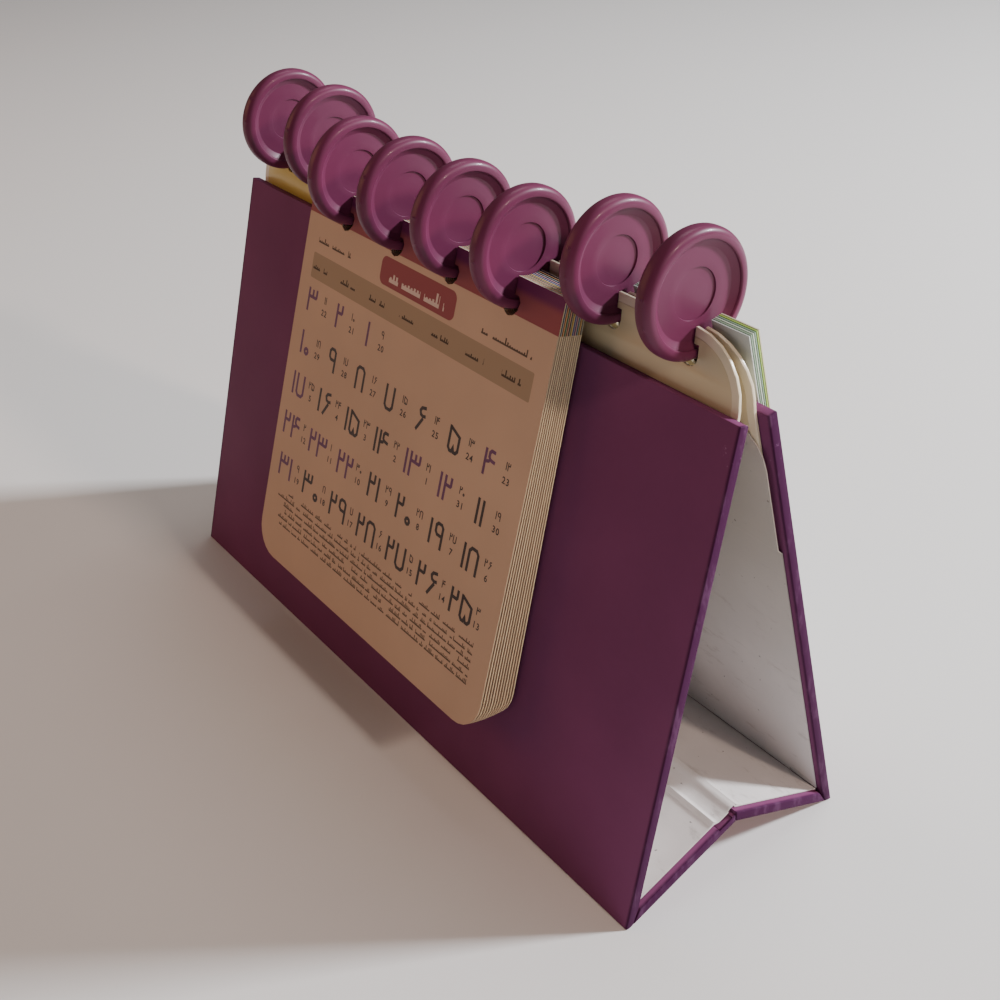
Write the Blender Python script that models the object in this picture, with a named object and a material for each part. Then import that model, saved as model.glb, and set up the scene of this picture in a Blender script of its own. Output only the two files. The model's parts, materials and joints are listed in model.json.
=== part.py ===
"""Desk calendar: a fold-flat tent stand, disc binding, a pad of date leaves in front and wide leaves behind.

Metres, +Z up. X runs along the stand's width, the front faces -Y.
The origin is the middle of the flat under the front bottom fold.
"""

import math

import bmesh
import bpy
from mathutils import Vector

MM = 0.001

# Stand: two panels leaning together over a base that folds up in the middle
stand_width = 218.0 * MM
panel_height = 132.5 * MM
stand_depth = 73.3 * MM
mid_fold_rise = 13.4 * MM
foot_cut = 0.5 * MM
toe_length = 2.4 * MM

# Wrapped board: cover paper round a grey board, lined inside with white paper
cover_paper = 0.3 * MM
board_thickness = 1.6 * MM
board_fit = 0.2 * MM
turn_in = 14.0 * MM
glue_gap = 0.2 * MM
liner_paper = 0.3 * MM
liner_inset = 1.8 * MM
liner_top_inset = 2.6 * MM
liner_corner = 13.0 * MM
fold_gap = 0.3 * MM
spine_width = 5.4 * MM
spine_thickness = 1.1 * MM

# Punched strips that stand out of the panels' tops and hold the discs
strip_width = 211.0 * MM
strip_thickness = 0.9 * MM
strip_glued = 40.0 * MM
strip_edge_below_axis = 7.8 * MM
strip_gap = 0.4 * MM
strip_corner = 15.0 * MM

# Discs: outer discs carry the strips and wide leaves, the pad pushes the inner ones forward
disc_count = 8
disc_pitch = 25.4 * MM
disc_radius = 16.0 * MM
rim_inner_radius = 12.4 * MM
rim_width = 5.0 * MM
web_thickness = 1.6 * MM
boss_radius = 5.0 * MM
boss_rise = 0.15 * MM
disc_sides = 28
axis_above_panel = 24.44 * MM
outer_axis_forward = 1.33 * MM
inner_axis_forward = 7.1 * MM
inner_axis_drop = 2.5 * MM
inner_discs = (2, 3, 4, 5)

# Punched holes: a narrow neck at the paper's edge and a wide round hole for the rim
neck_clearance = 0.45 * MM
rim_clearance = 0.3 * MM
open_neck_clearance = 0.35 * MM
open_hole_extra = 0.9 * MM
strip_slot_travel = 3.4 * MM
leaf_slot_travel = 2.2 * MM

# Pad of date leaves on the inner discs
pad_leaves = 12
leaf_width = 114.8 * MM
leaf_height = 120.4 * MM
leaf_paper = 0.3 * MM
leaf_pitch = 0.6 * MM
leaf_corner = 9.5 * MM
leaf_edge_radius = 7.2 * MM
first_leaf_offset = -0.75 * MM
pad_fan_angle = math.radians(1.9)

# Wide leaves hanging behind on all discs
wide_leaves = 6
wide_leaf_width = 206.0 * MM
wide_leaf_height = 121.0 * MM
wide_leaf_gap = 0.4 * MM
wide_leaf_corner = 0.0

CORNER_STEPS = 6
HOLE_STEPS = 6

# Derived shape of the stand's side view
wall = cover_paper + board_fit + board_thickness + board_fit + cover_paper
lined_wall = wall + glue_gap + liner_paper
half_depth = stand_depth / 2
meeting_along_panel = panel_height + axis_above_panel
panel_lean = math.asin(half_depth / meeting_along_panel)
base_rise = math.atan2(mid_fold_rise + foot_cut, half_depth)
base_length = math.hypot(half_depth, mid_fold_rise + foot_cut)
foot_front = foot_cut * math.tan(panel_lean)
foot_back = foot_cut / math.tan(base_rise)
foot_middle = (foot_front + foot_back) / 2
middle_plane = half_depth - foot_middle
axis_height = meeting_along_panel * math.cos(panel_lean) - foot_cut
outer_axis = Vector((0.0, middle_plane - outer_axis_forward, axis_height))
inner_axis = outer_axis - Vector((0.0, inner_axis_forward, inner_axis_drop))
strip_top_height = outer_axis.z - strip_edge_below_axis
wedge = (math.pi / 2 - panel_lean - base_rise) / 2
corner_run = lined_wall / math.tan(wedge)


def front_panel_point(along, inward):
    """Side-view point on the front panel: up from the bottom fold, and in from the outer face."""
    return (
        along * math.sin(panel_lean) + inward * math.cos(panel_lean) - foot_middle,
        along * math.cos(panel_lean) - inward * math.sin(panel_lean) - foot_cut,
    )


def front_base_point(along, upward):
    """Side-view point on the base's front half: back from the bottom fold, and up from the outer face."""
    return (
        along * math.cos(base_rise) - upward * math.sin(base_rise) - foot_middle,
        along * math.sin(base_rise) + upward * math.cos(base_rise) - foot_cut,
    )


strip_seat = wall + glue_gap
strip_root = front_panel_point(panel_height, strip_seat + strip_thickness)
strip_lean = math.atan2(middle_plane - strip_gap / 2 - strip_root[0], strip_top_height - strip_root[1])


def mirrored(place):
    """The same side-view frame at the back of the stand."""

    def place_behind(along, inward):
        y, z = place(along, inward)
        return 2 * middle_plane - y, z

    return place_behind


rear_panel_point = mirrored(front_panel_point)
rear_base_point = mirrored(front_base_point)


def clear_scene():
    for item in list(bpy.data.objects):
        bpy.data.objects.remove(item, do_unlink=True)


def finish_material(name, colour, roughness):
    material = bpy.data.materials.new(name)
    material.use_nodes = True
    shader = material.node_tree.nodes["Principled BSDF"]
    shader.inputs["Base Color"].default_value = (*colour, 1.0)
    shader.inputs["Roughness"].default_value = roughness
    shader.inputs["Metallic"].default_value = 0.0
    return material


def add_object(name, bm, finish, origin=None):
    """Turns a bmesh in world coordinates into an object whose origin lies at the given point."""
    colour, roughness = finish
    bmesh.ops.recalc_face_normals(bm, faces=bm.faces)
    start = Vector(origin) if origin is not None else Vector((0.0, 0.0, 0.0))
    bmesh.ops.translate(bm, verts=bm.verts, vec=-start)
    mesh = bpy.data.meshes.new(name)
    bm.to_mesh(mesh)
    bm.free()
    mesh.materials.append(finish_material(name, colour, roughness))
    obj = bpy.data.objects.new(name, mesh)
    obj.location = start
    bpy.context.scene.collection.objects.link(obj)
    return obj


def prism(profile, half_width):
    """A closed side-view outline, extruded across the stand's width."""
    bm = bmesh.new()
    ring = [bm.verts.new((-half_width, y, z)) for y, z in profile]
    face = bm.faces.new(ring)
    grown = bmesh.ops.extrude_face_region(bm, geom=[face])
    moved = [item for item in grown["geom"] if isinstance(item, bmesh.types.BMVert)]
    bmesh.ops.translate(bm, verts=moved, vec=(2 * half_width, 0, 0))
    bmesh.ops.recalc_face_normals(bm, faces=bm.faces)
    return bm


def carve(obj, profile, half_width):
    """Cuts a prism out of an object, for a pocket or a window."""
    bm = prism(profile, half_width)
    mesh = bpy.data.meshes.new(obj.name + "_cut")
    bm.to_mesh(mesh)
    bm.free()
    cutter = bpy.data.objects.new(obj.name + "_cut", mesh)
    cutter.location = (0.0, 0.0, 0.0)
    cutter.hide_render = True
    cutter.display_type = "WIRE"
    bpy.context.scene.collection.objects.link(cutter)
    modifier = obj.modifiers.new("cut", "BOOLEAN")
    modifier.operation = "DIFFERENCE"
    modifier.solver = "EXACT"
    modifier.object = cutter


def arc(centre, radius, start, end, steps):
    """Points on a round stretch of an outline, from one angle to another in degrees."""
    points = []
    for step in range(steps + 1):
        angle = math.radians(start + (end - start) * step / steps)
        points.append((centre[0] + radius * math.cos(angle), centre[1] + radius * math.sin(angle)))
    return points


def punched_slot(x, edge, neck_depth, hole_depth, neck_half, hole_half):
    """Outline of one punched hole, open at the paper's top edge, from its left side to its right."""
    shoulder = edge - neck_depth
    centre = (x, edge - hole_depth + hole_half)
    left = [(x - neck_half, edge), (x - neck_half, shoulder), (x - hole_half, max(shoulder, centre[1]))]
    right = [(x + hole_half, max(shoulder, centre[1])), (x + neck_half, shoulder), (x + neck_half, edge)]
    bottom = arc(centre, hole_half, 180, 360, HOLE_STEPS)
    if centre[1] >= shoulder:
        left, right = left[:2], right[1:]
        bottom = bottom[1:-1]
    return left + bottom + right


def punched_outline(width, top, bottom, top_corner, bottom_corner, slots):
    """Outline of a punched sheet, with round or square corners and its holes along the top edge."""
    half = width / 2
    points = []
    if top_corner > 0:
        points += arc((-half + top_corner, top - top_corner), top_corner, 180, 90, CORNER_STEPS)
    else:
        points.append((-half, top))
    for slot in slots:
        points += slot
    if top_corner > 0:
        points += arc((half - top_corner, top - top_corner), top_corner, 90, 0, CORNER_STEPS)
    else:
        points.append((half, top))
    if bottom_corner > 0:
        points += arc((half - bottom_corner, bottom + bottom_corner), bottom_corner, 0, -90, CORNER_STEPS)
        points += arc((-half + bottom_corner, bottom + bottom_corner), bottom_corner, -90, -180, CORNER_STEPS)
    else:
        points += [(half, bottom), (-half, bottom)]
    return points


def sheet(outline, thickness, place, folds=()):
    """A flat sheet with thickness, laid by a function that turns (along, through) into side-view points."""
    bm = bmesh.new()
    bm.faces.new([bm.verts.new((x, along, 0.0)) for x, along in outline])
    for fold in folds:
        geometry = bm.verts[:] + bm.edges[:] + bm.faces[:]
        bmesh.ops.bisect_plane(bm, geom=geometry, dist=1e-7, plane_co=(0, fold, 0), plane_no=(0, 1, 0))
    grown = bmesh.ops.extrude_face_region(bm, geom=bm.faces[:])
    moved = [item for item in grown["geom"] if isinstance(item, bmesh.types.BMVert)]
    bmesh.ops.translate(bm, verts=moved, vec=(0, 0, thickness))
    for vert in bm.verts:
        y, z = place(vert.co.y, vert.co.z)
        vert.co = (vert.co.x, y, z)
    bmesh.ops.recalc_face_normals(bm, faces=bm.faces)
    return bm


def disc_x(index):
    return (index - (disc_count - 1) / 2) * disc_pitch


cover_purple = ((0.105, 0.017, 0.075), 0.42)
board_grey = ((0.36, 0.33, 0.29), 0.9)
liner_white = ((0.72, 0.69, 0.70), 0.75)
strip_cream = ((0.66, 0.58, 0.42), 0.55)
disc_mauve = ((0.22, 0.06, 0.15), 0.3)
leaf_tint = ((0.62, 0.50, 0.42), 0.7)
wide_leaf_tints = (
    ((0.40, 0.45, 0.36), 0.7),
    ((0.34, 0.42, 0.34), 0.7),
    ((0.52, 0.60, 0.50), 0.7),
    ((0.32, 0.40, 0.32), 0.7),
    ((0.45, 0.60, 0.16), 0.7),
    ((0.66, 0.62, 0.46), 0.7),
)


def panel(prefix, place, base_place):
    """One leaning panel: cover with its toe under the fold, grey board inside, white liner."""
    half = stand_width / 2
    foot_along_panel = foot_cut / math.cos(panel_lean)
    foot_along_base = foot_cut / math.sin(base_rise)
    inner_run = corner_run + fold_gap / 2
    outline = [
        place(foot_along_panel, 0),
        place(panel_height, 0),
        place(panel_height, wall),
        place(inner_run, wall),
        base_place(toe_length, 0),
        base_place(foot_along_base, 0),
    ]
    cover = add_object(prefix + "_cover", prism(outline, half), cover_purple)
    pocket_low = inner_run
    pocket_high = panel_height - cover_paper
    pocket = [
        place(pocket_low, cover_paper),
        place(pocket_high, cover_paper),
        place(pocket_high, wall - cover_paper),
        place(pocket_low, wall - cover_paper),
    ]
    carve(cover, pocket, half - cover_paper)
    window = [
        place(pocket_low + board_fit, wall - 1.5 * cover_paper),
        place(panel_height - turn_in, wall - 1.5 * cover_paper),
        place(panel_height - turn_in, wall + cover_paper),
        place(pocket_low + board_fit, wall + cover_paper),
    ]
    carve(cover, window, half - turn_in)
    board_low = pocket_low + board_fit
    board_high = pocket_high - board_fit
    inset = cover_paper + board_fit
    board = [
        place(board_low, inset),
        place(board_high, inset),
        place(board_high, inset + board_thickness),
        place(board_low, inset + board_thickness),
    ]
    add_object(prefix + "_board", prism(board, half - inset), board_grey)
    return cover


def strip_place(place):
    """Side-view frame of a strip: flat on the panel where it is glued, more upright above the panel."""

    def at(along, through):
        y, z = place(min(along, panel_height), strip_seat + through)
        if along > panel_height:
            sign = 1 if place is front_panel_point else -1
            y += sign * (along - panel_height) * math.sin(strip_lean)
            z += (along - panel_height) * math.cos(strip_lean)
            tilt = panel_lean - strip_lean
            y += sign * through * (math.cos(strip_lean) - math.cos(panel_lean))
            z += through * (math.sin(panel_lean) - math.sin(strip_lean)) * math.cos(tilt)
        return y, z

    return at


def strip(name, place, slot_shape):
    """A punched strip glued inside a panel's top, its free edge hooked round the discs."""
    panel_top = place(panel_height, strip_seat)[1]
    free_height = (strip_top_height - panel_top) / math.cos(strip_lean)
    top = panel_height + free_height
    neck_depth, hole_depth, neck_half, hole_half = slot_shape
    slots = [
        punched_slot(disc_x(index), top, neck_depth, hole_depth, neck_half, hole_half)
        for index in range(disc_count)
    ]
    corner_room = strip_width / 2 - disc_x(disc_count - 1) - neck_half - rim_clearance
    corner = min(strip_corner, corner_room)
    outline = punched_outline(strip_width, top, panel_height - strip_glued, corner, 0, slots)
    bm = sheet(outline, strip_thickness, strip_place(place), folds=(panel_height,))
    return add_object(name, bm, strip_cream)


def panel_liner(name, place):
    """White liner on a panel's inner face, stepping up over the glued part of the strip."""
    step_low = panel_height - strip_glued - 2 * strip_thickness
    step_high = panel_height - strip_glued - glue_gap
    lift = strip_thickness + glue_gap

    def at(along, through):
        share = min(max((along - step_low) / (step_high - step_low), 0), 1)
        return place(along, wall + glue_gap + share * lift + through)

    bottom = corner_run + fold_gap / 2
    outline = punched_outline(
        stand_width - 2 * liner_inset, panel_height - liner_top_inset, bottom, liner_corner, 0, []
    )
    bm = sheet(outline, liner_paper, at, folds=(step_low, step_high))
    return add_object(name, bm, liner_white)


def base_half(prefix, place, has_spine):
    """Half of the folding base: cover underneath, grey board, liner on top and, in front, the spine."""
    half = stand_width / 2
    start = toe_length + fold_gap
    inner_run = corner_run + fold_gap / 2
    end = base_length - fold_gap / 2

    def mitre(upward):
        return end + upward * math.tan(base_rise)

    spine_start = base_length - spine_width
    spine_wall = cover_paper + board_fit + spine_thickness + board_fit
    if has_spine:
        outline = [place(start, 0), place(end, 0), place(mitre(spine_wall), spine_wall)]
        outline += [place(spine_start, spine_wall), place(spine_start, wall), place(inner_run, wall)]
    else:
        outline = [place(start, 0), place(end, 0), place(mitre(wall), wall), place(inner_run, wall)]
    cover = add_object(prefix + "_cover", prism(outline, half), cover_purple)
    pocket_end = (spine_start if has_spine else end) - cover_paper
    pocket_top = wall - cover_paper
    pocket = [
        place(inner_run, cover_paper),
        place(pocket_end, cover_paper),
        place(pocket_end, pocket_top),
        place(inner_run, pocket_top),
    ]
    carve(cover, pocket, half - cover_paper)
    window = [
        place(inner_run + board_fit, wall - 1.5 * cover_paper),
        place(pocket_end - board_fit, wall - 1.5 * cover_paper),
        place(pocket_end - board_fit, wall + cover_paper),
        place(inner_run + board_fit, wall + cover_paper),
    ]
    carve(cover, window, half - turn_in)
    inset = cover_paper + board_fit
    board = [
        place(inner_run + board_fit, inset),
        place(pocket_end - board_fit, inset),
        place(pocket_end - board_fit, inset + board_thickness),
        place(inner_run + board_fit, inset + board_thickness),
    ]
    add_object(prefix + "_board", prism(board, half - inset), board_grey)
    if has_spine:
        groove = [
            place(spine_start + board_fit, cover_paper),
            place(end - cover_paper, cover_paper),
            place(end - cover_paper, spine_wall + cover_paper),
            place(spine_start + board_fit, spine_wall + cover_paper),
        ]
        carve(cover, groove, half - cover_paper)
        spine = [
            place(spine_start + 2 * board_fit, inset),
            place(end - inset, inset),
            place(end - inset, inset + spine_thickness),
            place(spine_start + 2 * board_fit, inset + spine_thickness),
        ]
        add_object("base_spine_strip", prism(spine, half - inset), board_grey)
    top_step = wall - spine_wall if has_spine else 0
    step_from = spine_start + board_fit if has_spine else end
    step_to = step_from + 2 * top_step

    def at(along, through):
        share = min(max((along - step_from) / (step_to - step_from), 0), 1) if has_spine else 0
        return place(along, wall + glue_gap - share * top_step + through)

    liner_end = end
    side = half - liner_inset
    liner = [(-side, liner_end), (side, liner_end), (side, inner_run), (-side, inner_run)]
    folds = (step_from, step_to) if has_spine else ()
    add_object(prefix + "_liner", sheet(liner, liner_paper, at, folds), liner_white)


def disc(index):
    """A binding disc: a rounded rim on a thin web with a low round boss, turned about the X axis."""
    half_web = web_thickness / 2
    half_rim = rim_width / 2
    rim_depth = disc_radius - rim_inner_radius
    side = [
        (0.0, half_web + boss_rise),
        (boss_radius - boss_rise, half_web + boss_rise),
        (boss_radius, half_web),
        (rim_inner_radius, half_web),
        (rim_inner_radius + 0.12 * rim_depth, 0.86 * half_rim),
        (rim_inner_radius + 0.34 * rim_depth, half_rim),
        (rim_inner_radius + 0.72 * rim_depth, 0.92 * half_rim),
        (rim_inner_radius + 0.93 * rim_depth, 0.56 * half_rim),
        (disc_radius, 0.0),
    ]
    profile = side + [(radius, -across) for radius, across in reversed(side[:-1])]
    bm = bmesh.new()
    poles = (bm.verts.new((profile[0][1], 0, 0)), bm.verts.new((profile[-1][1], 0, 0)))
    rings = []
    for radius, across in profile[1:-1]:
        ring = []
        for step in range(disc_sides):
            angle = 2 * math.pi * step / disc_sides
            ring.append(bm.verts.new((across, radius * math.cos(angle), radius * math.sin(angle))))
        rings.append(ring)
    for step in range(disc_sides):
        after = (step + 1) % disc_sides
        bm.faces.new((poles[0], rings[0][step], rings[0][after]))
        bm.faces.new((poles[1], rings[-1][after], rings[-1][step]))
        for inner, outer in zip(rings, rings[1:]):
            bm.faces.new((inner[step], outer[step], outer[after], inner[after]))
    axis = inner_axis if index in inner_discs else outer_axis
    centre = Vector((disc_x(index), axis.y, axis.z))
    bmesh.ops.translate(bm, verts=bm.verts, vec=centre)
    obj = add_object("disc_%d" % (index + 1), bm, disc_mauve, centre)
    obj.data.shade_smooth()
    obj.data.set_sharp_from_angle(angle=math.radians(50))
    return obj


def pad_leaf(number):
    """One date leaf of the pad, hooked on the inner discs; the last one lies along the panel."""
    share = number / (pad_leaves - 1)
    lean = panel_lean + pad_fan_angle * (1 - share)
    offset = first_leaf_offset + number * leaf_pitch
    depth = max(abs(offset), abs(offset + leaf_paper))
    rise = disc_radius - math.sqrt(disc_radius**2 - depth**2)
    top = -(leaf_edge_radius - rise)
    neck_half = web_thickness / 2 + neck_clearance
    hole_half = rim_width / 2 + rim_clearance
    inner_crossing = math.sqrt(rim_inner_radius**2 - depth**2)
    neck_depth = inner_crossing - rim_clearance + top
    hole_depth = disc_radius + rim_clearance - leaf_edge_radius
    slots = [
        punched_slot(disc_x(index), top, neck_depth, hole_depth, neck_half, hole_half)
        for index in inner_discs
    ]
    outline = punched_outline(leaf_width, top, top - leaf_height, 0, leaf_corner, slots)

    def at(along, through):
        inward = offset + through
        y = inner_axis.y + along * math.sin(lean) + inward * math.cos(lean)
        z = inner_axis.z + along * math.cos(lean) - inward * math.sin(lean)
        return y, z

    bm = sheet(outline, leaf_paper, at)
    return add_object("date_leaf_%02d" % (number + 1), bm, leaf_tint, inner_axis)


def open_slot_shape(top_to_axis, travel):
    """Hole shape of the sheets behind, whose necks let the rims pass as the stand folds."""
    neck_half = rim_width / 2 + open_neck_clearance
    hole_half = neck_half + open_hole_extra
    hole_depth = disc_radius + travel - top_to_axis
    neck_depth = hole_depth - 2 * hole_half + open_hole_extra
    return max(neck_depth, open_hole_extra), hole_depth, neck_half, hole_half


def wide_leaf(number):
    """One wide leaf behind the stand, hooked on every disc; higher numbers hang further out."""
    outward = wide_leaf_gap + number * leaf_pitch
    behind = 2 * middle_plane - outer_axis.y + foot_middle
    axis_along = behind * math.sin(panel_lean) + (outer_axis.z + foot_cut) * math.cos(panel_lean)
    top = axis_along - leaf_edge_radius
    slot_shape = open_slot_shape(leaf_edge_radius, leaf_slot_travel)
    slots = [punched_slot(disc_x(index), top, *slot_shape) for index in range(disc_count)]
    outline = punched_outline(wide_leaf_width, top, top - wide_leaf_height, 0, wide_leaf_corner, slots)

    def at(along, through):
        return rear_panel_point(along, -(outward + leaf_paper) + through)

    bm = sheet(outline, leaf_paper, at)
    return add_object("wide_leaf_%d" % (number + 1), bm, wide_leaf_tints[number], outer_axis)


def front_slot_shape():
    """Hole shape of the front strip: it holds the rims of both rows of discs."""
    outer_low = outer_axis.z - disc_radius
    reach = strip_seat + strip_thickness
    free_seat = front_panel_point(panel_height, reach)[0] - inner_axis.y
    free_seat += (outer_low - front_panel_point(panel_height, 0)[1]) * math.tan(strip_lean)
    far = free_seat
    near = far - strip_thickness - disc_radius * math.sin(strip_lean) / 4
    inner_low = inner_axis.z - math.sqrt(disc_radius**2 - near**2)
    lowest = min(outer_low, inner_low) - rim_clearance
    outer_high = outer_axis.z - rim_inner_radius + rim_clearance / 2
    inner_high = inner_axis.z - math.sqrt(rim_inner_radius**2 - far**2)
    highest = max(outer_high, inner_high) + rim_clearance
    neck_half = web_thickness / 2 + neck_clearance
    hole_half = rim_width / 2 + rim_clearance
    neck_depth = (strip_top_height - highest) / math.cos(strip_lean)
    hole_depth = (strip_top_height - lowest) / math.cos(strip_lean)
    return neck_depth, hole_depth, neck_half, hole_half


def build():
    clear_scene()
    panel("front_panel", front_panel_point, front_base_point)
    panel("rear_panel", rear_panel_point, rear_base_point)
    panel_liner("front_panel_liner", front_panel_point)
    panel_liner("rear_panel_liner", rear_panel_point)
    base_half("base_front", front_base_point, True)
    base_half("base_rear", rear_base_point, False)
    strip("front_strip", front_panel_point, front_slot_shape())
    strip("rear_strip", rear_panel_point, open_slot_shape(strip_edge_below_axis, strip_slot_travel))
    for index in range(disc_count):
        disc(index)
    for number in range(pad_leaves):
        pad_leaf(number)
    for number in range(wide_leaves):
        wide_leaf(number)


build()
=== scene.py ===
"""Desk calendar: the finish of a fold-flat tent stand, its binding discs and its printed leaves.

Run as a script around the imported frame. Metres, +Z up, the front faces -Y, X runs along the width.
"""

import json
import math
from contextlib import contextmanager

import bmesh
import bpy
from bpy.props import FloatProperty, FloatVectorProperty, PointerProperty
from mathutils import Matrix, Vector


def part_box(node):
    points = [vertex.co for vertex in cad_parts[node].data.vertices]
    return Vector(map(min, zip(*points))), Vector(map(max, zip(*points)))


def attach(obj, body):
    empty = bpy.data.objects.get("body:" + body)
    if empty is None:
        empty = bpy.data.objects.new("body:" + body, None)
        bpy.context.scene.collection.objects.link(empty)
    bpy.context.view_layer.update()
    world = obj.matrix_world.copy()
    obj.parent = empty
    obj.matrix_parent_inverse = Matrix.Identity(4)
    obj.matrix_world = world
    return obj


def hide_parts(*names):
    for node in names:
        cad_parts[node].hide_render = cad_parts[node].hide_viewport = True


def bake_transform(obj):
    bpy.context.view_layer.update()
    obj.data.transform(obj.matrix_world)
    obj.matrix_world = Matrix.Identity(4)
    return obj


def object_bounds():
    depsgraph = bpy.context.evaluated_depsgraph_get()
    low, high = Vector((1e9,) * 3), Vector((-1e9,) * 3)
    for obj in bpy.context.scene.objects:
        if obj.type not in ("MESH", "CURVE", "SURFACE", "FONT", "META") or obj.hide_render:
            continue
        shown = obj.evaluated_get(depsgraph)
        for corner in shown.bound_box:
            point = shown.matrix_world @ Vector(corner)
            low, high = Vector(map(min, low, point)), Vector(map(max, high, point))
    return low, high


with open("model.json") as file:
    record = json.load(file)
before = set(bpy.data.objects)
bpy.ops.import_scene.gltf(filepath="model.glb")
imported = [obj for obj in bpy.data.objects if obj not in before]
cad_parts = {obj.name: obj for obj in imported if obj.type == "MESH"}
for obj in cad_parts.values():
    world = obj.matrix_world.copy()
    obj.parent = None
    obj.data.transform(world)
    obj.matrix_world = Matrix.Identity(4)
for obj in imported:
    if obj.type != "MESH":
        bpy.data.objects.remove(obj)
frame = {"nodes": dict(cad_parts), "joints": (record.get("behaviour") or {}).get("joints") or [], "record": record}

bl_info = {
    "name": "Desk Calendar Finish",
    "version": (1, 0, 0),
    "blender": (4, 5, 0),
    "location": "View3D > Sidebar > Calendar",
    "description": "Dresses a tent calendar: covers, linings, discs, printed leaves and a plain stage",
    "category": "Object",
}

MM = 0.001
DISC_SIDES = 112  # facets round a disc's rim
NUB_PLACES, NUB_REACH = (163.0, 187.0), 1.7  # degrees round the rim
DISC_TURNS = [5.0 * (number * 3 % 8) - 18.0 for number in range(8)]  # degrees, so that no two discs look alike
FOLD_CUTS = 71  # cuts across the lining's fold, where the paper gives
PAINTED_HEADER_SHADE_FADE = (-12.2 * MM, -9.4 * MM)  # where the purple shade painted over the header's upper part fades, up from the binding axis
MARKED_DAYS = {1, 2, 4, 12, 13, 22, 23}  # printed in the holiday ink
FIRST_COLUMN = 4  # the first leaf's month starts in this column, counted from the right
WEEK = 7  # columns
ROWS = 5  # rows of dates; a sixth week goes back to the first row
cad_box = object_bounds()
behaviour = frame["record"]["behaviour"]
body_of_node = {node: body for body, held in behaviour["bodies"].items() for node in held}
joint_place = {joint["name"]: Vector(joint["pos_m"]) for joint in frame["joints"]}
date_leaves = sorted(node for node in frame["nodes"] if node.startswith("date_leaf_"))
wide_leaves = sorted(node for node in frame["nodes"] if node.startswith("wide_leaf_"))
discs = sorted(node for node in frame["nodes"] if node.startswith("disc_"))


def size(name, description, default):
    """A length that a user would change."""
    return FloatProperty(name=name, description=description, default=default, unit="LENGTH", precision=5)


def colour(name, description, default):
    """A colour that a user would change."""
    return FloatVectorProperty(
        name=name, description=description, default=default, subtype="COLOR", size=3, min=0.0, max=1.0
    )


def angle(name, description, degrees):
    """An angle that a user would change."""
    return FloatProperty(name=name, description=description, default=math.radians(degrees), subtype="ANGLE")


class CalendarCover(bpy.types.PropertyGroup):
    """Wrapped boards, their linings and the punched strips."""

    paper: colour("Cover paper", "Laminated purple wrap of the stand", (0.170, 0.050, 0.124))
    worn: colour("Worn cover", "Cover paper where its edges are rubbed", (0.42, 0.22, 0.40))
    lining: colour("Lining", "White paper inside the stand", (0.74, 0.700, 0.690))
    card: colour("Strip card", "Coated cream card of the punched strips", (0.60, 0.500, 0.315))
    film: colour("Film border", "Clear film that stands out round the strip's card", (0.72, 0.63, 0.46))
    board: colour("Grey board", "Board inside the covers", (0.36, 0.33, 0.29))
    edge_radius: size("Edge radius", "Rounding where the paper wraps round the board", 0.28 * MM)
    strip_edge: size("Strip edge", "Rounding of the punched card's edges", 0.16 * MM)
    film_border: size("Film border", "Width of the clear border round the strip", 2.1 * MM)
    strip_top: size("Strip top", "From the outer disc axis down to the strip's top edge", 7.8 * MM)
    strip_width: size("Strip width", "Width of the punched strips", 211.0 * MM)
    strip_corner: size("Strip corner", "Radius of the strips' top corners", 15.0 * MM)
    skin: size("Fold skin", "Thickness of the paper that runs over a fold", 0.10 * MM)
    skin_gap: size("Skin gap", "From the paper over a fold to what it covers", 0.05 * MM)
    foot_half: size("Foot half", "Half the width of the flat under a bottom fold", 0.6 * MM)


class CalendarDiscs(bpy.types.PropertyGroup):
    """Moulded binding discs."""

    plastic: colour("Plastic", "Mauve plastic of the discs", (0.128, 0.0235, 0.064))
    rim_round: size("Rim rounding", "Radius of the rim's outer shoulders", 2.0 * MM)
    rim_inner_round: size("Inner rounding", "Radius of the rim's inner shoulders", 0.4 * MM)
    rim_face: size("Rim face", "From the disc's outside to the rim's inner shoulder", 2.9 * MM)
    wall_depth: size("Wall depth", "Depth of the steep wall inside the rim", 0.65 * MM)
    web: size("Web", "Thickness of the web", 1.6 * MM)
    web_radius: size("Web radius", "Where the sloping ring inside the rim ends", 11.3 * MM)
    mark_radius: size("Mark radius", "Round sunk mark in the middle of the web", 6.4 * MM)
    mark_depth: size("Mark depth", "How deep the round mark is sunk", 0.30 * MM)
    nub: size("Nub", "Height of the moulding nubs on the rim", 0.13 * MM)


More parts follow.
